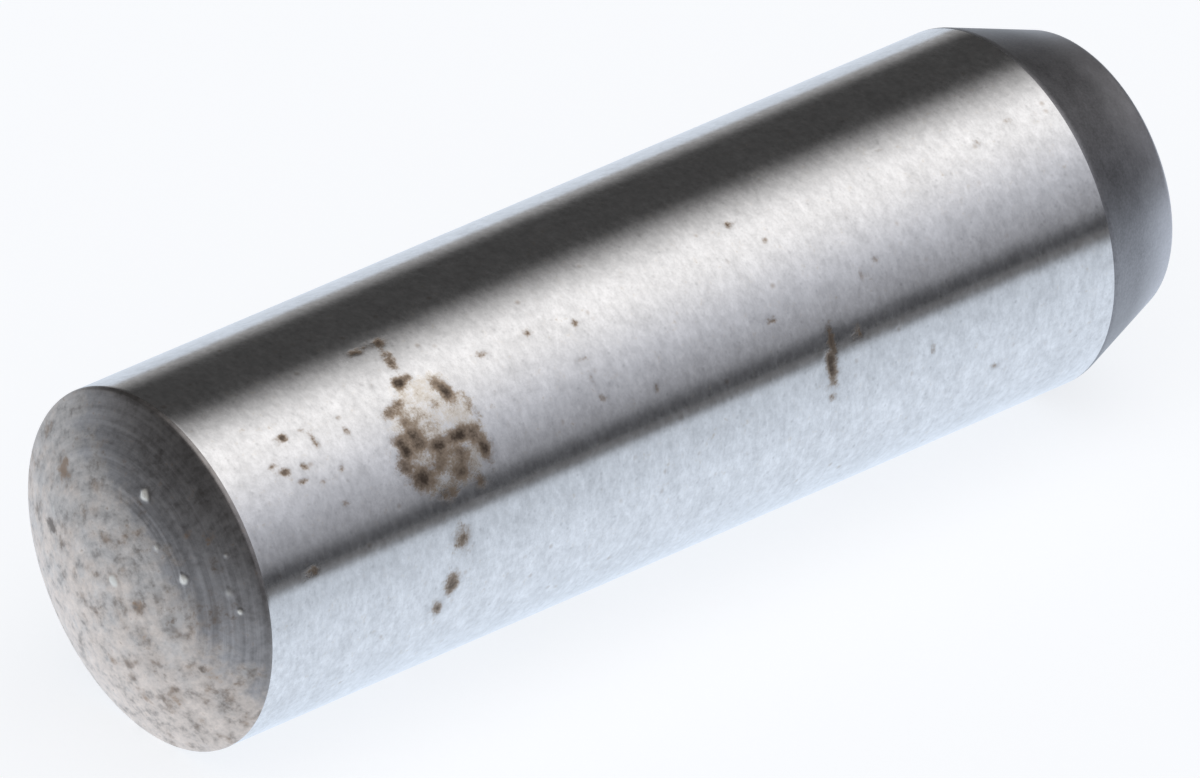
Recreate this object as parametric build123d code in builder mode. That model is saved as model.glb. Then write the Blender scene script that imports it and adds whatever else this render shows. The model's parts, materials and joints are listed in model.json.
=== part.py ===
from build123d import *
import math
import os

# A dowel pin, turned and ground from a single steel bar. Sizes are in millimetres.
# The pin lies along X with +Z up. Its origin is on its axis, halfway along the ground shank.
# The domed head is at the -X end, and the tapered lead that enters the hole first is at +X.

# Driving dimensions
pin_diameter = 6.0  # ground shank
overall_length = 20.0  # from the crown of the head to the crown of the tip
head_dome_radius = 6.4  # turned dome that meets the shank in a crisp edge
lead_length = 1.7  # taper, along the axis, up to the corner that it would make with the tip
lead_angle = 20.3  # between the taper's side and the axis, in degrees
tip_dome_radius = 6.0  # shallow dome on the end of the lead
tip_edge_radius = 0.2  # rounding between the taper and the tip's dome

# Radii and axial stations that follow from them
shank_radius = pin_diameter / 2
tip_radius = shank_radius - lead_length * math.tan(math.radians(lead_angle))
head_rise = head_dome_radius - math.sqrt(head_dome_radius**2 - shank_radius**2)
tip_rise = tip_dome_radius - math.sqrt(tip_dome_radius**2 - tip_radius**2)
shank_length = overall_length - head_rise - lead_length - tip_rise

shank_start_x = -shank_length / 2
shank_end_x = shank_length / 2
head_crown_x = shank_start_x - head_rise
taper_end_x = shank_end_x + lead_length
tip_crown_x = taper_end_x + tip_rise

# The upper half of the pin's lengthwise section, turned about the axis.
with BuildPart() as dowel_pin:
    with BuildSketch(Plane.XY) as half_section:
        with BuildLine():
            head_dome = RadiusArc((head_crown_x, 0), (shank_start_x, shank_radius), head_dome_radius)
            shank_side = Line(head_dome @ 1, (shank_end_x, shank_radius))
            lead_taper = Line(shank_side @ 1, (taper_end_x, tip_radius))
            tip_dome = RadiusArc(lead_taper @ 1, (tip_crown_x, 0), tip_dome_radius)
            Line(tip_dome @ 1, head_dome @ 0)
        make_face()
        tip_corner = half_section.vertices().sort_by_distance(lead_taper @ 1)[0]
        fillet(tip_corner, radius=tip_edge_radius)
    revolve(axis=Axis.X)

dowel_pin.part.label = "dowel_pin"

print(f"shank {shank_length:.4f} mm long, from x = {shank_start_x:.4f} to {shank_end_x:.4f}")

os.makedirs("parts", exist_ok=True)
export_step(dowel_pin.part, "parts/dowel_pin.step")
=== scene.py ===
import json
import math
from typing import NamedTuple

import bmesh
import bpy
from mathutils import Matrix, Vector, noise


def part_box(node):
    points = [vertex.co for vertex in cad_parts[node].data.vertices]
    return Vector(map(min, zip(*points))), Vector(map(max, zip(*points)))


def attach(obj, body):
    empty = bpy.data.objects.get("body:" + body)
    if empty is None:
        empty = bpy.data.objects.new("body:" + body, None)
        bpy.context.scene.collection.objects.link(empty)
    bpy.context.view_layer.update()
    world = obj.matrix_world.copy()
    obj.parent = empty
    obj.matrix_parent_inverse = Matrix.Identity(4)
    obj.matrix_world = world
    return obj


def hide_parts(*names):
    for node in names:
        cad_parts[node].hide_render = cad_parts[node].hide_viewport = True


bl_info = {
    "name": "Dowel pin",
    "version": (1, 0, 0),
    "blender": (4, 5, 0),
    "location": "3D View > Sidebar > Dowel Pin",
    "description": "A ground steel dowel pin with a turned head, corrosion marks and a small studio",
    "category": "Add Mesh",
}

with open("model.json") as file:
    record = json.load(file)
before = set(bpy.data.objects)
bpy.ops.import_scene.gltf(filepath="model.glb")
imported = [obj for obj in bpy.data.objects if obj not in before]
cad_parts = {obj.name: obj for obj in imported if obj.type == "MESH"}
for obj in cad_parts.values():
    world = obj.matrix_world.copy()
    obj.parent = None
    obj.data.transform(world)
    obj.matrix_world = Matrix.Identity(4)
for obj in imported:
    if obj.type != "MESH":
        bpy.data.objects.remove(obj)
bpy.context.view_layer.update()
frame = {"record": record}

MM = 0.001  # metres
NODE = "dowel_pin"
PIECE = "ground_dowel_pin"

pin_low, pin_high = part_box(NODE)
shank_dims = frame["record"]["mounts"][0]["dims"]
HALF_SHANK = shank_dims["length_mm"] * MM / 2

STEEL, HEAD, LEAD = range(3)  # material slots on the pin

# The turned ends' pattern
RINGS_PER_MM = 9.0
RING_WANDER = 0.25  # how much the rings change round the axis
SMEAR_TURN = math.radians(-38.0)  # the way that the head's dust is wiped, round the axis
SMEAR_LENGTH = 1.5  # how much longer its flecks are that way
TIP_EDGE = 10.22  # millimetres along the axis, where the taper meets the tip


class PinShape(bpy.types.PropertyGroup):
    """Sizes of the pin's visible detail."""

    radius: bpy.props.FloatProperty(
        name="Shank radius", description="Radius of the ground shank",
        default=shank_dims["r_mm"] * MM, unit="LENGTH")
    half_shank: bpy.props.FloatProperty(
        name="Half shank", description="Half the length of the ground shank",
        default=HALF_SHANK, unit="LENGTH")
    head_rise: bpy.props.FloatProperty(
        name="Head rise", description="Height of the domed head's crown past the shank",
        default=-pin_low.x - HALF_SHANK, unit="LENGTH")
    tip_reach: bpy.props.FloatProperty(
        name="Tip reach", description="Length of the lead and its domed tip past the shank",
        default=pin_high.x - HALF_SHANK, unit="LENGTH")
    lead_length: bpy.props.FloatProperty(
        name="Lead length", description="Length of the taper along the axis",
        default=1.7 * MM, unit="LENGTH")
    lead_angle: bpy.props.FloatProperty(
        name="Lead angle", description="Angle between the taper's side and the axis",
        default=math.radians(20.3), unit="ROTATION")
    tip_edge_radius: bpy.props.FloatProperty(
        name="Tip edge radius", description="Rounding between the taper and the tip",
        default=0.2 * MM, unit="LENGTH")
    edge_break: bpy.props.FloatProperty(
        name="Edge break", description="Width of the worn edge at each end of the shank",
        default=0.05 * MM, unit="LENGTH")
    ring_pitch: bpy.props.FloatProperty(
        name="Ring pitch", description="Spacing of the turned rings on the ends",
        default=0.094 * MM, unit="LENGTH")
    ring_depth: bpy.props.FloatProperty(
        name="Ring depth", description="Depth of the turned rings",
        default=0.0014 * MM, unit="LENGTH")
    pit_depth: bpy.props.FloatProperty(
        name="Pit depth", description="Depth of the deepest corrosion pits",
        default=0.004 * MM, unit="LENGTH")
    grain_height: bpy.props.FloatProperty(
        name="Grain height", description="Height of the grains of dirt stuck to the head",
        default=0.02 * MM, unit="LENGTH")
    sides: bpy.props.IntProperty(
        name="Sides", description="Steps round the pin", default=224, min=16)


class PinFinish(bpy.types.PropertyGroup):
    """Colours and gloss of the pin's surfaces."""

    steel: bpy.props.FloatVectorProperty(
        name="Ground steel", description="Colour of the ground shank",
        default=(0.64, 0.64, 0.645), subtype="COLOR", min=0, max=1)
    steel_roughness: bpy.props.FloatProperty(
        name="Shank roughness", description="Roughness of the ground shank",
        default=0.145, subtype="FACTOR", min=0, max=1)
    head: bpy.props.FloatVectorProperty(
        name="Turned head", description="Colour of the turned head where it is clean",
        default=(0.25, 0.238, 0.235), subtype="COLOR", min=0, max=1)
    dust: bpy.props.FloatVectorProperty(
        name="Dust", description="Colour of the dust on the head",
        default=(0.52, 0.45, 0.395), subtype="COLOR", min=0, max=1)
    grey_dust: bpy.props.FloatVectorProperty(
        name="Grey dust", description="Colour of the greyer dust, mostly towards the head's top",
        default=(0.47, 0.435, 0.405), subtype="COLOR", min=0, max=1)
    grime: bpy.props.FloatVectorProperty(
        name="Grime", description="Colour of the dark dirt between the head's grains of dust",
        default=(0.125, 0.095, 0.072), subtype="COLOR", min=0, max=1)
    rust: bpy.props.FloatVectorProperty(
        name="Rust", description="Colour of the few flecks of rust on the head",
        default=(0.27, 0.17, 0.098), subtype="COLOR", min=0, max=1)
    chaff: bpy.props.FloatVectorProperty(
        name="Grains", description="Colour of the pale grains stuck to the head",
        default=(0.88, 0.85, 0.78), subtype="COLOR", min=0, max=1)
    lead: bpy.props.FloatVectorProperty(
        name="Lead", description="Colour of the tapered lead",
        default=(0.262, 0.26, 0.272), subtype="COLOR", min=0, max=1)
    light_stain: bpy.props.FloatVectorProperty(
        name="Light stain", description="Colour of the thinnest tarnish",
        default=(0.58, 0.53, 0.46), subtype="COLOR", min=0, max=1)
    brown_stain: bpy.props.FloatVectorProperty(
        name="Brown stain", description="Colour of thin corrosion",
        default=(0.26, 0.19, 0.13), subtype="COLOR", min=0, max=1)
    dark_stain: bpy.props.FloatVectorProperty(
        name="Dark stain", description="Colour of the deepest corrosion",
        default=(0.06, 0.042, 0.03), subtype="COLOR", min=0, max=1)


class Studio(bpy.types.PropertyGroup):
    """Camera, floor and light."""

    azimuth: bpy.props.FloatProperty(
        name="Camera azimuth", description="Turn of the camera from the front, to the right",
        default=math.radians(-39.4), unit="ROTATION")
    elevation: bpy.props.FloatProperty(
        name="Camera elevation", description="Height of the camera above the horizon",
        default=math.radians(31.5), unit="ROTATION")
    distance: bpy.props.FloatProperty(
        name="Camera distance", description="From the camera to the point it looks at",
        default=0.4681, unit="LENGTH")
    aim: bpy.props.FloatVectorProperty(
        name="Aim", description="The point the camera looks at",
        default=(0.288 * MM, -0.259 * MM, -0.028 * MM), precision=6, unit="LENGTH")
    lens: bpy.props.FloatProperty(
        name="Lens", description="Focal length on a 36 mm sensor", default=900.0, unit="CAMERA")
    floor: bpy.props.FloatVectorProperty(
        name="Floor", description="Colour of the floor and the backdrop",
        default=(0.95, 0.97, 1.0), subtype="COLOR", min=0, max=1)
    floor_glow: bpy.props.FloatProperty(
        name="Floor glow", description="Light of the floor's own", default=0.8, min=0)
    pool: bpy.props.FloatVectorProperty(
        name="Pool colour", description="Colour of the lit part of the floor in reflections",
        default=(0.78, 0.875, 1.0), subtype="COLOR", min=0, max=1)
    pool_glow: bpy.props.FloatProperty(
        name="Pool glow", description="Brightness of the lit part of the floor", default=0.89, min=0)
    strip_glow: bpy.props.FloatProperty(
        name="Strip glow", description="Brightness of the long soft light over the pin",
        default=1.27, min=0)
    surroundings: bpy.props.FloatProperty(
        name="Surroundings", description="Brightness of the unlit studio round the pin",
        default=0.07, min=0)


# ---------------------------------------------------------------------------------------------
# Shader building


class Wire:
    """An output socket that can be used in plain arithmetic; each operation adds a Math node."""

    def __init__(self, shader, socket):
        self.shader = shader
        self.socket = socket

    def split(self, axis):
        """One axis of a vector, X, Y or Z."""
        return self.shader.node("ShaderNodeSeparateXYZ", {}, {0: self}, axis)

    def math(self, operation, *values):
        sockets = dict(enumerate((self, *values)))
        return self.shader.node("ShaderNodeMath", {"operation": operation}, sockets)

    def __add__(self, value):
        return self.math("ADD", value)

    def __radd__(self, value):
        return self.math("ADD", value)

    def __mul__(self, value):
        return self.math("MULTIPLY", value)

    def __rmul__(self, value):
        return self.math("MULTIPLY", value)

    def __sub__(self, value):
        return self.math("SUBTRACT", value)

    def __rsub__(self, value):
        return self.math("MULTIPLY", -1.0).math("ADD", value)


class Shader:
    """A node tree that is filled by one method for any node, and a few short forms of it."""

    def __init__(self, tree):
        self.tree = tree
        self.tree.nodes.clear()

    def node(self, kind, settings=None, sockets=None, output=0):
        """Adds a node, sets its settings, then its sockets, and returns one of its outputs."""
        node = self.tree.nodes.new(kind)
        for name, value in (settings or {}).items():
            setattr(node, name, value)
        for name, value in (sockets or {}).items():
            if isinstance(value, Wire):
                self.tree.links.new(value.socket, node.inputs[name])
            else:
                node.inputs[name].default_value = value
        return Wire(self, node.outputs[output]) if node.outputs else None

    def mix(self, factor, first, second, blend="MIX"):
        """Mixes two colours."""
        settings = {"data_type": "RGBA", "blend_type": blend}
        return self.node("ShaderNodeMix", settings, {0: factor, 6: first, 7: second}, 2)

    def step(self, value, low, high):
        """A smooth step from 0 at low to 1 at high."""
        settings = {"interpolation_type": "SMOOTHSTEP"}
        sockets = {"Value": value, "From Min": low, "From Max": high}
        return self.node("ShaderNodeMapRange", settings, sockets)

    def stretch(self, vector, factors):
        """Scales a vector along each axis."""
        sockets = {0: vector, 1: factors}
        return self.node("ShaderNodeVectorMath", {"operation": "MULTIPLY"}, sockets)

    def noise(self, vector, scale, detail=2.0, roughness=0.5):
        """A noise value about 0.5."""
        sockets = {"Vector": vector, "Scale": scale, "Detail": detail, "Roughness": roughness}
        return self.node("ShaderNodeTexNoise", {}, sockets)

    def specks(self, vector, scale, inner, outer):
        """Scattered round specks: 1 in each speck's middle and 0 between them."""
        sockets = {"Vector": vector, "Scale": scale}
        far = self.node("ShaderNodeTexVoronoi", {}, sockets, "Distance")
        return 1.0 - self.step(far, inner, outer)

    def shaded(self, colour, shade):
        """A colour made lighter or darker by a value."""
        grey = self.node("ShaderNodeCombineColor", {}, {0: shade, 1: shade, 2: shade})
        return self.mix(1.0, colour, grey, "MULTIPLY")

    def millimetres(self):
        """The place on the pin, in millimetres from its origin."""
        place = self.node("ShaderNodeTexCoord", output="Object")
        return self.stretch(place, (1 / MM,) * 3)

    def attribute(self, name):
        """A value painted on the mesh."""
        settings = {"attribute_name": name, "attribute_type": "GEOMETRY"}
        return self.node("ShaderNodeAttribute", settings, output="Fac")


def rgba(colour):
    """A colour with no transparency."""
    return (*colour, 1.0)


def new_material(name):
    """A material, and the shader that fills its node tree."""
    material = bpy.data.materials.new(name)
    material.use_nodes = True
    return material, Shader(material.node_tree)


def metal(shader, sockets):
    """A Principled surface, all metal unless the sockets say otherwise."""
    surface = shader.node("ShaderNodeBsdfPrincipled", {}, {"Metallic": 1.0, **sockets})
    shader.node("ShaderNodeOutputMaterial", {}, {"Surface": surface})


def bump(shader, height, distance):
    """A bump map from a height, where a height of 1 is the distance."""
    return shader.node("ShaderNodeBump", {}, {"Height": height, "Distance": distance})


def reach_and_rings(shader, place):
    """The distance from the axis in millimetres, and the tool's uneven rings about 0.5."""
    sideways = place.split("Y")
    height = place.split("Z")
    reach = (sideways * sideways + height * height).math("SQRT")
    radial = shader.node("ShaderNodeCombineXYZ", {}, {
        0: reach * RINGS_PER_MM, 1: sideways * RING_WANDER, 2: height * RING_WANDER})
    return reach, shader.noise(radial, 1.0, 3.0, 0.6)


# ---------------------------------------------------------------------------------------------
# Materials


def ground_steel(finish):
    """The shank: bright ground steel with fine lines round it, specks, stains and pits."""
    material, shader = new_material("ground_steel")
    place = shader.millimetres()
    lines = shader.noise(shader.stretch(place, (30.0, 1.5, 1.5)), 1.0, 3.0, 0.6)
    cloud = shader.noise(shader.stretch(place, (2.6, 1.4, 1.4)), 1.0, 3.0, 0.6)
    mottle = shader.noise(shader.stretch(place, (9.0, 6.0, 6.0)), 1.0, 3.0, 0.65)
    fine = shader.noise(place, 26.0, 2.0, 0.6)
    curds = shader.noise(place, 6.5, 3.0, 0.6)
    specks = shader.specks(place, 2.3, 0.0, 0.17) * shader.step(cloud, 0.42, 0.6)
    dots = shader.specks(place, 5.5, 0.05, 0.22)
    corrosion = shader.attribute("corrosion")
    stain = shader.attribute("stain")
    uneven = (curds - 0.5) * 1.0 + (fine - 0.5) * 0.35
    tint = shader.step(stain + uneven * 2.6, 0.25, 1.3)
    thin = shader.step(corrosion + uneven * 0.9 + stain * 0.13, 0.16, 0.66)
    deep = shader.step(corrosion + uneven * 0.9, 0.4, 1.05)
    shade = (cloud - 0.5) * 0.38 + (mottle - 0.5) * 0.6 + (fine - 0.5) * 0.2 + 1.0 - corrosion * 0.3
    worn = shader.shaded(rgba(finish.steel), shade - dots * 0.12)
    specked = shader.mix(specks * 0.5, worn, rgba(finish.brown_stain))
    tarnished = shader.mix(tint * 0.8, specked, rgba(finish.light_stain))
    browned = shader.mix(thin * 0.86, tarnished, rgba(finish.brown_stain))
    pitted = shader.mix(deep, browned, rgba(finish.dark_stain))
    rough = (lines - 0.5) * 0.06 + (mottle - 0.5) * 0.08 + finish.steel_roughness
    height = (lines - 0.5) * 0.35 + (mottle - 0.5) * 0.5 - specks * 0.8 - thin * 1.2 - deep * 1.6
    metal(shader, {
        "Base Color": pitted,
        "Roughness": rough + tint * 0.1 + thin * 0.12 + deep * 0.15,
        "Metallic": 1.0 - thin * 0.1 - deep * 0.2,
        "Normal": bump(shader, height, 0.0008 * MM),
    })
    return material


def turned_head(finish):
    """The domed head: dull turned steel with fine rings, gritty with dust and grime, with a few pale
    grains stuck to it. It is darker towards the top and lighter lower down, partly dust and partly
    painted light and shade; one grain by the crown is a painted highlight."""
    material, shader = new_material("turned_head")
    place = shader.millimetres()
    smeared = shader.node("ShaderNodeMapping", {"vector_type": "TEXTURE"}, {
        "Vector": place, "Rotation": (SMEAR_TURN, 0, 0), "Scale": (1.0, SMEAR_LENGTH, 1.0)})
    reach, rings = reach_and_rings(shader, place)
    height = place.split("Z")
    grit = shader.noise(smeared, 8.5, 4.0, 0.66)
    clump = shader.noise(smeared, 3.6, 3.0, 0.6)
    cloud = shader.noise(place, 1.5, 2.0, 0.5)
    hue = shader.noise(smeared, 2.6, 3.0, 0.6)
    upward = height * 0.8 - place.split("Y") * 0.6
    ragged = (cloud - 0.5) * 0.9 + (clump - 0.5) * 2.2
    # Bare steel towards the top and dust lower down: partly real dust, partly painted light and shade,
    # lighter lower down and darker towards the top.
    clean_and_shaded = shader.step(upward + reach.math("MINIMUM", 2.0) * 0.8 + ragged, 2.1, 3.0)
    # Painted light: the dust is made lighter towards the bottom, a painted reflection of the bright
    # floor under the pin.
    pale = 1.0 - shader.step(upward, -2.4, 0.6)
    dust_and_painted_light = 1.0 - clean_and_shaded
    scuffed = (rings - 0.5) * 1.3 + (grit - 0.5) * 1.1 + (clump - 0.5) * 0.6 + 1.02
    bare = shader.shaded(rgba(finish.head), scuffed)
    greyer = shader.step(hue * 2.4 + height * 0.22, 0.8, 1.7)
    dust = shader.mix(greyer, rgba(finish.dust), rgba(finish.grey_dust))
    arcs = (rings - 0.5) * shader.step(height, -1.8, 1.8)
    uneven = (grit - 0.5) * 1.1 + (clump - 0.5) * 1.15 + arcs * 0.7
    dust = shader.shaded(dust, uneven + pale * 0.36 + 1.05)
    colour = shader.mix(dust_and_painted_light * 0.94 + 0.06, bare, dust)
    grimy = shader.step(clump * 0.6 + grit * 0.4, 0.5, 0.3) * (dust_and_painted_light * 0.3 + 0.18)
    ochre = shader.step(hue * 0.55 + clump * 0.45, 0.46, 0.34) * dust_and_painted_light * 0.42
    dirt = shader.step(shader.attribute("dirt") + (grit - 0.5) * 2.2, 0.2, 1.1)
    colour = shader.mix(ochre, colour, rgba(finish.rust))
    colour = shader.mix((grimy + dirt * 0.85).math("MINIMUM", 1.0), colour, rgba(finish.grime))
    rust = shader.step(shader.attribute("rust") + (grit - 0.5) * 2.6, 0.2, 1.15)
    colour = shader.mix(rust * 0.8, colour, rgba(finish.rust))
    # Pale grains; the one by the crown is a painted highlight on the centre nub.
    lump = shader.step(shader.attribute("grain"), 0.1, 0.8)
    colour = shader.mix(lump, colour, rgba(finish.chaff))
    metal(shader, {
        "Base Color": colour,
        "Roughness": (grit - 0.5) * 0.2 + dust_and_painted_light * 0.06 + 0.36,
        "Metallic": 1.0 - dust_and_painted_light * 0.15 - lump * 0.5,
        "Normal": bump(shader, grit * 0.6 + clump, (dust_and_painted_light * 0.008 + 0.002) * MM),
    })
    return material


def turned_lead(finish):
    """The tapered lead and its tip: dull steel with a fine grain, made lighter towards the tip by
    painted light, whose end shows its turned rings."""
    material, shader = new_material("turned_lead")
    place = shader.millimetres()
    along = place.split("X")
    rings = reach_and_rings(shader, place)[1]
    end = shader.step(along, TIP_EDGE, TIP_EDGE + 0.12)
    lines = shader.noise(shader.stretch(place, (16.0, 1.5, 1.5)), 1.0, 3.0, 0.6)
    mottle = shader.noise(place, 3.0, 3.0, 0.6)
    fine = shader.noise(place, 24.0, 2.0, 0.6)
    # Painted light: the lead's colour grows lighter towards the tip.
    painted_light_to_tip = shader.step(along, 9.1, 10.3)
    shade = (mottle - 0.5) * 0.55 + (lines - 0.5) * 0.2 + (fine - 0.5) * 0.6 + painted_light_to_tip * 0.9 + 0.95
    metal(shader, {
        "Base Color": shader.shaded(rgba(finish.lead), shade + (rings - 0.5) * end * 1.3),
        "Roughness": (lines - 0.5) * 0.1 + (mottle - 0.5) * 0.1 + 0.43,
        "Normal": bump(shader, lines * 0.5 + fine, 0.0012 * MM),
    })
    return material


# ---------------------------------------------------------------------------------------------
# Marks on the surface


class Mark(NamedTuple):
    """A corroded spot on the shank. Places are millimetres from the head's edge and degrees round
    the shank, where 0 faces -Y and 90 faces up. Sizes are half widths in millimetres."""

    along: float
    turn: float
    long: float
    wide: float
    strength: float


# The thin stain under the large corroded patch, and the deeper spots in it: first the upper
# rim, then the left side, the dark band across the middle, the right arc and the lower part,
# and last the faint spots in its pale middle.
PATCH = Mark(4.0, 42, 0.76, 1.06, 1.0)
PATCH_SPOTS = (
    Mark(3.8, 60.5, 0.10, 0.10, 1.4), Mark(4.0, 61, 0.09, 0.07, 0.8),
    Mark(4.45, 52, 0.10, 0.17, 1.3), Mark(4.35, 56, 0.09, 0.10, 0.8),
    Mark(3.55, 54.5, 0.10, 0.10, 0.75), Mark(3.35, 53, 0.12, 0.10, 0.75),
    Mark(3.5, 48.5, 0.10, 0.14, 0.6), Mark(3.55, 44, 0.11, 0.13, 1.05),
    Mark(3.25, 44, 0.13, 0.12, 1.0), Mark(3.3, 40, 0.13, 0.14, 1.1),
    Mark(3.6, 41, 0.12, 0.12, 0.95), Mark(3.15, 36.5, 0.11, 0.16, 0.9),
    Mark(3.9, 38.5, 0.20, 0.10, 1.15), Mark(4.3, 39, 0.20, 0.11, 1.25),
    Mark(4.55, 37, 0.12, 0.12, 1.05), Mark(4.65, 32, 0.10, 0.20, 1.15),
    Mark(4.2, 33.5, 0.14, 0.12, 0.95), Mark(3.75, 32.5, 0.15, 0.12, 0.8),
    Mark(3.4, 31, 0.19, 0.19, 1.15), Mark(4.1, 28.5, 0.18, 0.13, 0.95),
    Mark(4.4, 23.5, 0.14, 0.12, 0.75), Mark(3.75, 23.5, 0.20, 0.12, 0.8),
    Mark(3.9, 35.5, 0.14, 0.10, 0.6), Mark(4.75, 43, 0.07, 0.16, 0.4),
    Mark(4.12, 50, 0.09, 0.09, 0.42), Mark(3.75, 49, 0.16, 0.20, 0.26),
    Mark(3.95, 44.5, 0.14, 0.12, 0.24), Mark(4.7, 48, 0.07, 0.2, 0.3),
)

# All the shank's marks: the patch's spots, then the others from the head's end to the lead's,
# and last three faint hazes.
MARKS = PATCH_SPOTS + (
    Mark(4.0, 76, 0.11, 0.10, 1.0), Mark(3.55, 76, 0.14, 0.08, 0.9),
    Mark(3.95, 69.5, 0.09, 0.16, 0.8), Mark(3.9, 66, 0.07, 0.12, 0.7),
    Mark(3.35, 63, 0.06, 0.06, 0.6), Mark(1.43, 59, 0.08, 0.08, 1.1),
    Mark(1.9, 54, 0.06, 0.16, 0.8), Mark(1.8, 59, 0.06, 0.06, 0.6),
    Mark(1.5, 48.5, 0.07, 0.07, 0.8), Mark(1.15, 49, 0.11, 0.07, 1.0),
    Mark(1.0, 52, 0.09, 0.05, 0.6), Mark(1.35, 44.5, 0.11, 0.06, 0.8),
    Mark(1.7, 42, 0.08, 0.06, 0.5), Mark(2.5, 53, 0.06, 0.11, 0.65),
    Mark(2.5, 58, 0.06, 0.05, 0.5), Mark(2.1, 43, 0.07, 0.07, 0.45),
    Mark(1.9, 33.5, 0.08, 0.08, 0.55), Mark(1.0, 19, 0.10, 0.09, 0.9),
    Mark(3.85, 9.5, 0.15, 0.17, 0.75), Mark(3.6, -4.5, 0.13, 0.20, 1.0),
    Mark(3.35, -11.5, 0.12, 0.16, 0.85), Mark(5.35, 58.5, 0.07, 0.08, 0.6),
    Mark(6.3, 59, 0.07, 0.07, 0.7), Mark(7.15, 56, 0.07, 0.07, 0.8),
    Mark(5.25, 46, 0.10, 0.08, 0.35), Mark(6.95, 45, 0.10, 0.05, 0.45),
    Mark(6.95, 38, 0.06, 0.16, 0.5), Mark(8.0, 28.5, 0.07, 0.11, 0.55),
    Mark(7.0, 32, 0.08, 0.08, 0.55), Mark(10.6, 66, 0.07, 0.08, 0.8),
    Mark(11.0, 56.5, 0.06, 0.07, 0.5), Mark(10.45, 33.5, 0.06, 0.07, 0.65),
    Mark(11.4, 21, 0.07, 0.24, 0.95), Mark(11.3, 13.5, 0.085, 0.26, 1.2),
    Mark(11.95, 19.5, 0.07, 0.15, 0.8), Mark(11.25, 3.5, 0.07, 0.07, 0.55),
    Mark(13.3, 5, 0.05, 0.15, 0.6), Mark(14.6, -11.5, 0.07, 0.08, 0.65),
    Mark(12.65, 38, 0.07, 0.07, 0.65), Mark(12.3, 35, 0.06, 0.10, 0.5),
    Mark(15.4, 58.5, 0.06, 0.06, 0.6), Mark(16.1, 61, 0.09, 0.11, 0.5),
    Mark(13.8, 69, 0.10, 0.06, 0.45), Mark(3.9, 5, 0.3, 0.5, 0.22),
    Mark(11.3, 9, 0.3, 0.35, 0.2), Mark(9.0, 3, 0.4, 0.3, 0.12),
)

REACH = 2.2  # a mark fades out at this many times its half width


class Grain(NamedTuple):
    """A grain or a spot of dirt on the head: millimetres from the axis, degrees round it, half
    width in millimetres and strength."""

    reach: float
    turn: float
    size: float
    strength: float


# Grains stuck to the head. The second, by the crown, is a painted highlight: a pale raised spot where
# the centre nub catches the light.
GRAINS = (
    Grain(1.87, 73.5, 0.11, 1.0), Grain(0.15, 58, 0.11, 1.0), Grain(1.71, 26.5, 0.10, 0.9),
    Grain(2.58, 12, 0.06, 0.7), Grain(2.59, 32.5, 0.05, 0.45), Grain(2.45, 19, 0.09, 0.4),
    Grain(1.44, 49, 0.07, 0.5), Grain(1.21, 5, 0.08, 0.3), Grain(1.79, 163.5, 0.10, 0.5),
    Grain(1.12, 146, 0.07, 0.35), Grain(1.55, -134, 0.08, 0.4),
)

DIRT_SPOTS = (
    Grain(1.78, 175.5, 0.19, 1.4), Grain(2.15, 10, 0.60, 0.6), Grain(2.35, 30, 0.22, 0.6),
    Grain(1.08, 12, 0.20, 0.65), Grain(2.0, -22, 0.12, 0.9), Grain(2.79, -57, 0.16, 0.6),
    Grain(2.05, 107, 0.30, 0.4), Grain(1.62, 71, 0.20, 0.6), Grain(2.1, 95, 0.24, 0.4),
    Grain(1.35, 25, 0.18, 0.5), Grain(1.25, 0, 0.40, 0.5), Grain(1.4, -55, 0.45, 0.45),
)

RUST_SPOTS = (
    Grain(2.0, 140.5, 0.27, 1.15), Grain(0.63, -7, 0.15, 0.9), Grain(2.19, -22, 0.19, 0.7),
    Grain(2.1, 45.5, 0.13, 0.6), Grain(1.49, -98.5, 0.20, 0.65), Grain(1.96, -77, 0.20, 0.65),
    Grain(1.97, -53, 0.24, 0.65), Grain(2.45, 40, 0.14, 0.6), Grain(0.95, -40, 0.20, 0.55),
)


def apart(mark, along, turn, radius):
    """How far a place is from a mark's middle, as a share of the mark's size."""
    across = math.radians(turn - mark.turn) * radius
    return math.hypot((along - mark.along) / mark.long, across / mark.wide)


def fade(value, low, high):
    """A smooth step from 0 at low to 1 at high, or the other way if low is above high."""
    share = min(max((value - low) / (high - low), 0.0), 1.0)
    return share * share * (3 - 2 * share)


def marks_by_millimetre(length):
    """The marks that reach each millimetre of the shank, so that each place tries only a few."""
    return [
        [m for m in MARKS if abs(m.along - place - 0.5) < 0.5 + REACH * m.long]
        for place in range(math.ceil(length))
    ]


def corrosion_at(marks, along, turn, radius):
    """Depth of corrosion at a place on the shank: 0 where there is none, about 1 in a pit."""
    clear = 1.0
    for mark in marks:
        reach = apart(mark, along, turn, radius)
        if reach < REACH:
            clear *= 1.0 - min(mark.strength * 0.8 * math.exp(-0.8 * reach * reach), 0.98)
    return 1.0 - clear


def stain_at(along, turn, radius, spot):
    """Strength of the thin stain round the large patch, which has a ragged edge."""
    ragged = apart(PATCH, along, turn, radius) + 0.16 * noise.noise(spot * 2.6)
    return fade(ragged, 1.12, 0.84)


# ---------------------------------------------------------------------------------------------
# The pin's mesh

SHANK_ROWS = 80
ROWS_PER_HEAD_RING = 4
ROWS_PER_TIP_RING = 3
TAPER_ROWS = (0.035, 0.2, 0.4, 0.6, 0.8, 0.93)  # shares of its length, close together at its edges


def turn_of(spot):
    """Degrees round the axis: 0 faces -Y and 90 faces up."""
    return math.degrees(math.atan2(spot.z, -spot.y))


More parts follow.
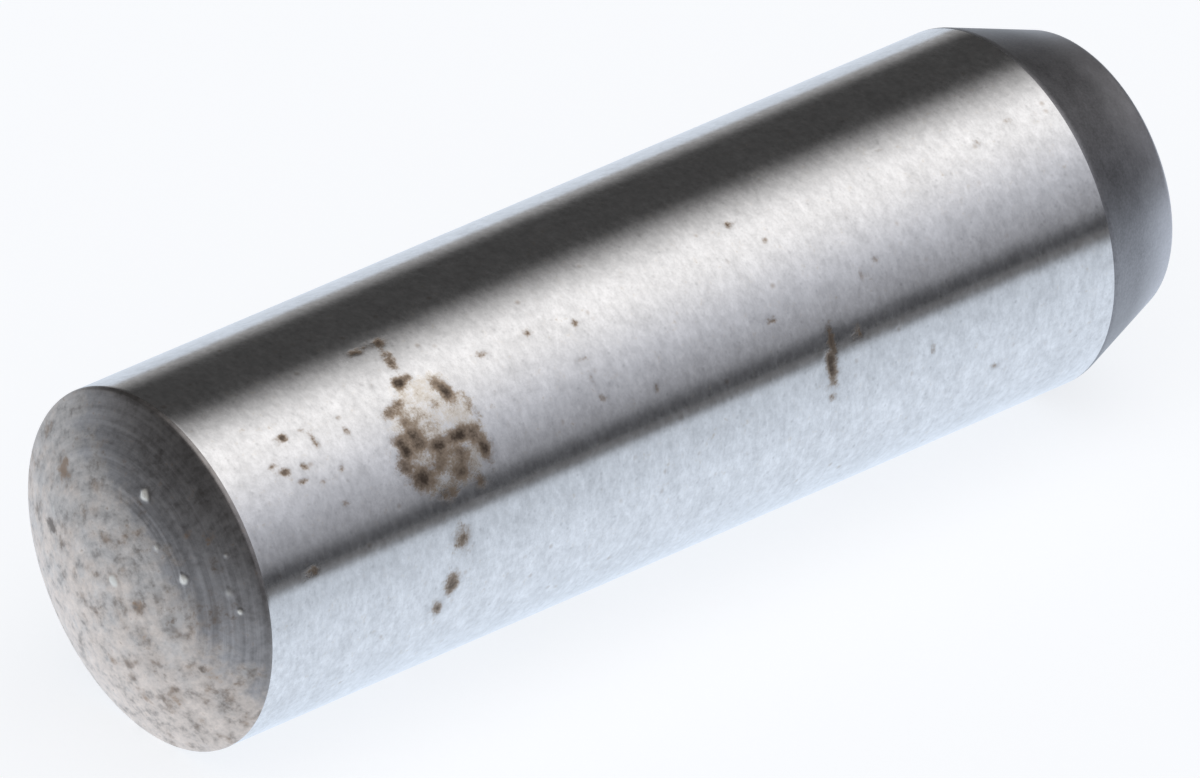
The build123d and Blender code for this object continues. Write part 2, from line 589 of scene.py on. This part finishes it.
def groove(reach, edge, shape):
    """Depth of the turned rings at a distance from the axis, which fade out before the edge."""
    wave = 0.5 - 0.5 * math.cos(math.tau * reach / shape.ring_pitch)
    uneven = max(0.45 + 1.6 * noise.noise(Vector((reach / shape.ring_pitch * 0.37, 0.0, 4.0))), 0.1)
    return shape.ring_depth * wave * uneven * fade(edge - reach, 0.0, 2 * shape.ring_pitch)


def dome_rows(edge, rise, shape, margin, fineness):
    """(depth below the crown, distance from the axis) from the crown to the edge of a dome, with
    a number of rows to each ring."""
    ball = (edge**2 + rise**2) / (2 * rise)
    count = round((edge - margin) / shape.ring_pitch * fineness)
    reaches = [(edge - margin) * i / count for i in range(count + 1)] + [edge]
    return [(ball - math.sqrt(ball**2 - r**2) + groove(r, edge, shape), r) for r in reaches]


def pin_profile(shape):
    """(place along the axis, distance from it) from the head's crown to the tip's crown."""
    crown = -shape.half_shank - shape.head_rise
    tip = shape.half_shank + shape.tip_reach
    tip_radius = shape.radius - shape.lead_length * math.tan(shape.lead_angle)
    tip_rise = shape.tip_reach - shape.lead_length
    support = 2 * shape.edge_break
    head = dome_rows(shape.radius, shape.head_rise, shape, support, ROWS_PER_HEAD_RING)
    end = dome_rows(tip_radius, tip_rise, shape, 0.7 * shape.tip_edge_radius, ROWS_PER_TIP_RING)
    first = -shape.half_shank + support
    stride = (2 * shape.half_shank - 2 * support) / SHANK_ROWS
    points = [(crown + depth, r) for depth, r in head]
    points += [(first + stride * i, shape.radius) for i in range(SHANK_ROWS + 1)]
    points.append((shape.half_shank, shape.radius))
    for share in TAPER_ROWS:
        along = share * shape.lead_length
        points.append((shape.half_shank + along, shape.radius - along * math.tan(shape.lead_angle)))
    points += [(tip - depth, r) for depth, r in reversed(end)]
    return points


def spun(points, sides):
    """A closed bmesh turned about X from a profile whose ends are on the axis."""
    bm = bmesh.new()
    verts = [bm.verts.new((x, -r, 0.0)) for x, r in points]
    edges = [bm.edges.new(pair) for pair in zip(verts, verts[1:])]
    bmesh.ops.spin(
        bm, geom=verts + edges, cent=(0, 0, 0), axis=(1, 0, 0), dvec=(0, 0, 0),
        angle=math.tau, steps=sides, use_merge=True, use_duplicate=False)
    bmesh.ops.remove_doubles(bm, verts=bm.verts, dist=1e-4 * MM)
    bmesh.ops.recalc_face_normals(bm, faces=bm.faces)
    return bm


def round_edge(bm, along, radius, width, segments):
    """Bevels the ring of edges at a place along the axis."""
    near = 1e-3 * MM
    ring = [
        e for e in bm.edges
        if all(abs(v.co.x - along) < near and abs(v.co.yz.length - radius) < near for v in e.verts)
    ]
    if not ring:
        raise RuntimeError(f"no edge ring at {along / MM:.3f} mm")
    bmesh.ops.bevel(
        bm, geom=ring, offset=width, offset_type="OFFSET", segments=segments, profile=0.5,
        affect="EDGES", material=-1)


def refine(bm, wanted, cuts):
    """Splits the faces for which wanted(centre) holds into a finer grid."""
    faces = [f for f in bm.faces if len(f.verts) == 4 and wanted(f.calc_center_median())]
    edges = list({e for f in faces for e in f.edges})
    bmesh.ops.subdivide_edges(bm, edges=edges, cuts=cuts, use_grid_fill=True)


def near_a_mark(shape):
    """Whether a place on the pin is near a corrosion mark on the shank or a grain on the head."""
    radius = shape.radius / MM
    length = 2 * shape.half_shank / MM
    marks = marks_by_millimetre(length)

    def wanted(spot):
        along = (spot.x + shape.half_shank) / MM
        turn = turn_of(spot)
        if along < 0:
            reach = spot.yz.length / MM
            return any(grain_distance(g, reach, turn) < 1.5 for g in GRAINS)
        if along > length:
            return False
        near = (m for m in marks[int(along)] if apart(m, along, turn, radius) < 1.6)
        return apart(PATCH, along, turn, radius) < 1.15 or any(near)

    return wanted


def grain_distance(grain, reach, turn):
    """How far a place on the head is from a grain's middle, as a share of the grain's size."""
    angle = math.radians(turn - grain.turn)
    return math.sqrt(reach**2 + grain.reach**2 - 2 * reach * grain.reach * math.cos(angle)) / grain.size


def spotted(spots, reach, turn, uneven):
    """The strength of the spot at a place on the head, with a ragged edge."""
    return max(s.strength * fade(grain_distance(s, reach, turn) + uneven, 1.4, 0.0) for s in spots)


def weather(bm, shape):
    """Sinks corrosion pits into the shank and raises grains on the head, and paints both."""
    corrosion = bm.verts.layers.float.new("corrosion")
    stain = bm.verts.layers.float.new("stain")
    grain = bm.verts.layers.float.new("grain")
    dirt = bm.verts.layers.float.new("dirt")
    rust = bm.verts.layers.float.new("rust")
    radius = shape.radius / MM
    length = 2 * shape.half_shank / MM
    marks = marks_by_millimetre(length)
    for vert in bm.verts:
        spot = vert.co / MM
        along = spot.x + shape.half_shank / MM
        turn = turn_of(spot)
        if along < 0:
            reach = spot.yz.length
            uneven = 0.3 * noise.noise(spot * 9.0)
            vert[grain] = spotted(GRAINS, reach, turn, uneven)
            vert[dirt] = spotted(DIRT_SPOTS, reach, turn, uneven)
            vert[rust] = spotted(RUST_SPOTS, reach, turn, uneven)
            vert.co.x -= shape.grain_height * vert[grain]
        elif along < length and abs(vert.co.yz.length - shape.radius) < 0.002 * MM:
            vert[corrosion] = corrosion_at(marks[int(along)], along, turn, radius)
            if apart(PATCH, along, turn, radius) < 1.4:
                vert[stain] = stain_at(along, turn, radius, spot)
            pit = fade(vert[corrosion] + 0.5 * noise.noise(spot * 9.0), 0.3, 0.9)
            vert.co.yz = vert.co.yz.normalized() * (shape.radius - shape.pit_depth * pit)


def paint_slots(bm, shape):
    """Gives each face its material slot and smooth shading. The worn edges are as dull as the
    ends that they belong to."""
    ground = shape.half_shank - shape.edge_break
    for face in bm.faces:
        along = face.calc_center_median().x
        face.smooth = True
        face.material_index = HEAD if along < -ground else STEEL
        if along > ground:
            face.material_index = LEAD


def pin_mesh(shape):
    """The pin's finished mesh, with its marks and material slots."""
    tip_radius = shape.radius - shape.lead_length * math.tan(shape.lead_angle)
    bm = spun(pin_profile(shape), shape.sides)
    round_edge(bm, -shape.half_shank, shape.radius, shape.edge_break, 3)
    round_edge(bm, shape.half_shank, shape.radius, shape.edge_break, 3)
    tip_width = 0.43 * shape.tip_edge_radius
    round_edge(bm, shape.half_shank + shape.lead_length, tip_radius, tip_width, 8)
    refine(bm, near_a_mark(shape), 3)
    weather(bm, shape)
    paint_slots(bm, shape)
    mesh = bpy.data.meshes.new(PIECE)
    bm.to_mesh(mesh)
    bm.free()
    return mesh


class PIN_OT_make_pin(bpy.types.Operator):
    """Make the dowel pin"""

    bl_idname = "pin.make_pin"
    bl_label = "Make the pin"

    def execute(self, context):
        scene = context.scene
        pin = bpy.data.objects.new(PIECE, pin_mesh(scene.pin_shape))
        scene.collection.objects.link(pin)
        for make in (ground_steel, turned_head, turned_lead):
            pin.data.materials.append(make(scene.pin_finish))
        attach(pin, "root")
        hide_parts(NODE)
        return {"FINISHED"}


# ---------------------------------------------------------------------------------------------
# The studio


def direction(azimuth, elevation):
    """The way from the pin to a camera: azimuth 0 is in front, at -Y, and it grows towards +X."""
    level = math.cos(elevation)
    return Vector((math.sin(azimuth) * level, -math.cos(azimuth) * level, math.sin(elevation)))


def add_camera(scene, studio):
    """A camera with a long lens, so that the pin's sides look nearly parallel."""
    camera = bpy.data.objects.new("camera", bpy.data.cameras.new("camera"))
    scene.collection.objects.link(camera)
    camera.data.lens = studio.lens
    camera.data.sensor_width = 36.0
    camera.data.clip_start = 0.01
    camera.data.clip_end = 20.0
    away = direction(studio.azimuth, studio.elevation)
    camera.location = Vector(studio.aim) + away * studio.distance
    camera.rotation_euler = away.to_track_quat("Z", "Y").to_euler()
    scene.camera = camera


def add_floor(scene, studio):
    """A pale floor. What the steel mirrors of it is a pool of light round the pin, which stops
    short in front of the pin and at both sides, and widens behind it. Distances are millimetres."""
    material, shader = new_material("floor")
    place = shader.millimetres()
    across = place.split("X")
    depth = place.split("Y")
    front = shader.step(depth, -52.0, -20.0)
    left = shader.step(across + depth * 0.6, -32.0, -10.0)
    behind = depth.math("MAXIMUM", 0.0)
    right = shader.step(across - behind * 0.8, 15.0, 43.0)
    sides = left * (1.0 - right)
    near = 1.0 - shader.step(depth.math("ABSOLUTE"), 2.0, 14.0)
    pool = front * sides * (near * 0.25 + 0.85) * studio.pool_glow
    seen = shader.node("ShaderNodeLightPath", output="Is Camera Ray")
    glow = seen * studio.floor_glow + (1.0 - seen) * pool
    colour = shader.mix(seen, rgba(studio.pool), rgba(studio.floor))
    surface = shader.node("ShaderNodeBsdfPrincipled", {}, {
        "Base Color": (0.3, 0.3, 0.3, 1.0),
        "Roughness": 0.9,
        "Specular IOR Level": 0.0,
        "Emission Color": colour,
        "Emission Strength": glow,
    })
    shader.node("ShaderNodeOutputMaterial", {}, {"Surface": surface})
    mesh = bpy.data.meshes.new("floor")
    bm = bmesh.new()
    bmesh.ops.create_grid(bm, x_segments=1, y_segments=1, size=4.0)
    bmesh.ops.translate(bm, vec=(0, 0, pin_low.z), verts=bm.verts)
    bm.to_mesh(mesh)
    bm.free()
    mesh.materials.append(material)
    floor = bpy.data.objects.new("floor", mesh)
    scene.collection.objects.link(floor)


def add_surroundings(scene, studio):
    """A dark studio with one long soft light over the pin, behind a pale backdrop. The light's
    angle is measured round the X axis: 0 is level in front, 90 is straight up."""
    world = bpy.data.worlds.new("studio")
    world.use_nodes = True
    scene.world = world
    shader = Shader(world.node_tree)
    way = shader.node("ShaderNodeTexCoord", output="Generated")
    ahead = way.split("Y") * -1.0
    angle = way.split("Z").math("ARCTAN2", ahead) * (180 / math.pi)
    rise = shader.step(angle, -5.0, 88.0) * 0.82 + shader.step(angle, 5.0, 16.0) * 0.18
    strip = rise * (1.0 - shader.step(angle, 84.0, 126.0))
    behind = shader.step(angle, 160.0, 180.0) * 0.38
    ends = 1.0 - shader.step(way.split("X").math("ABSOLUTE"), 0.62, 0.9) * 0.85
    glow = (strip * studio.strip_glow + behind) * ends + studio.surroundings
    cool, warm = (0.91, 0.925, 1.0, 1.0), (1.0, 0.985, 0.98, 1.0)
    colour = shader.mix(shader.step(angle, 30.0, 80.0), cool, warm)
    lit = shader.node("ShaderNodeBackground", {}, {"Color": colour, "Strength": glow})
    backdrop = shader.node("ShaderNodeBackground", {}, {"Color": rgba(studio.floor), "Strength": 1.0})
    seen = shader.node("ShaderNodeLightPath", output="Is Camera Ray")
    both = shader.node("ShaderNodeMixShader", {}, {0: seen, 1: lit, 2: backdrop})
    shader.node("ShaderNodeOutputWorld", {}, {"Surface": both})


class PIN_OT_make_stage(bpy.types.Operator):
    """Make the camera, the floor and the lights"""

    bl_idname = "pin.make_stage"
    bl_label = "Make the stage"

    def execute(self, context):
        scene = context.scene
        studio = scene.pin_studio
        scene.view_settings.view_transform = "Standard"
        add_camera(scene, studio)
        add_floor(scene, studio)
        add_surroundings(scene, studio)
        return {"FINISHED"}


class PIN_PT_panel(bpy.types.Panel):
    """The pin's tools and settings."""

    bl_idname = "PIN_PT_panel"
    bl_label = "Dowel Pin"
    bl_space_type = "VIEW_3D"
    bl_region_type = "UI"
    bl_category = "Dowel Pin"

    def draw(self, context):
        layout = self.layout
        scene = context.scene
        for group, tool in (
            (scene.pin_shape, None),
            (scene.pin_finish, PIN_OT_make_pin.bl_idname),
            (scene.pin_studio, PIN_OT_make_stage.bl_idname),
        ):
            column = layout.column()
            for name in group.bl_rna.properties.keys():
                if name not in ("rna_type", "name"):
                    column.prop(group, name)
            if tool:
                column.operator(tool)


CLASSES = (PinShape, PinFinish, Studio, PIN_OT_make_pin, PIN_OT_make_stage, PIN_PT_panel)


def register():
    for cls in CLASSES:
        bpy.utils.register_class(cls)
    bpy.types.Scene.pin_shape = bpy.props.PointerProperty(type=PinShape)
    bpy.types.Scene.pin_finish = bpy.props.PointerProperty(type=PinFinish)
    bpy.types.Scene.pin_studio = bpy.props.PointerProperty(type=Studio)


def unregister():
    del bpy.types.Scene.pin_studio
    del bpy.types.Scene.pin_finish
    del bpy.types.Scene.pin_shape
    for cls in reversed(CLASSES):
        bpy.utils.unregister_class(cls)


def main():
    register()
    bpy.ops.pin.make_pin()
    bpy.ops.pin.make_stage()


if __name__ == "__main__":
    main()
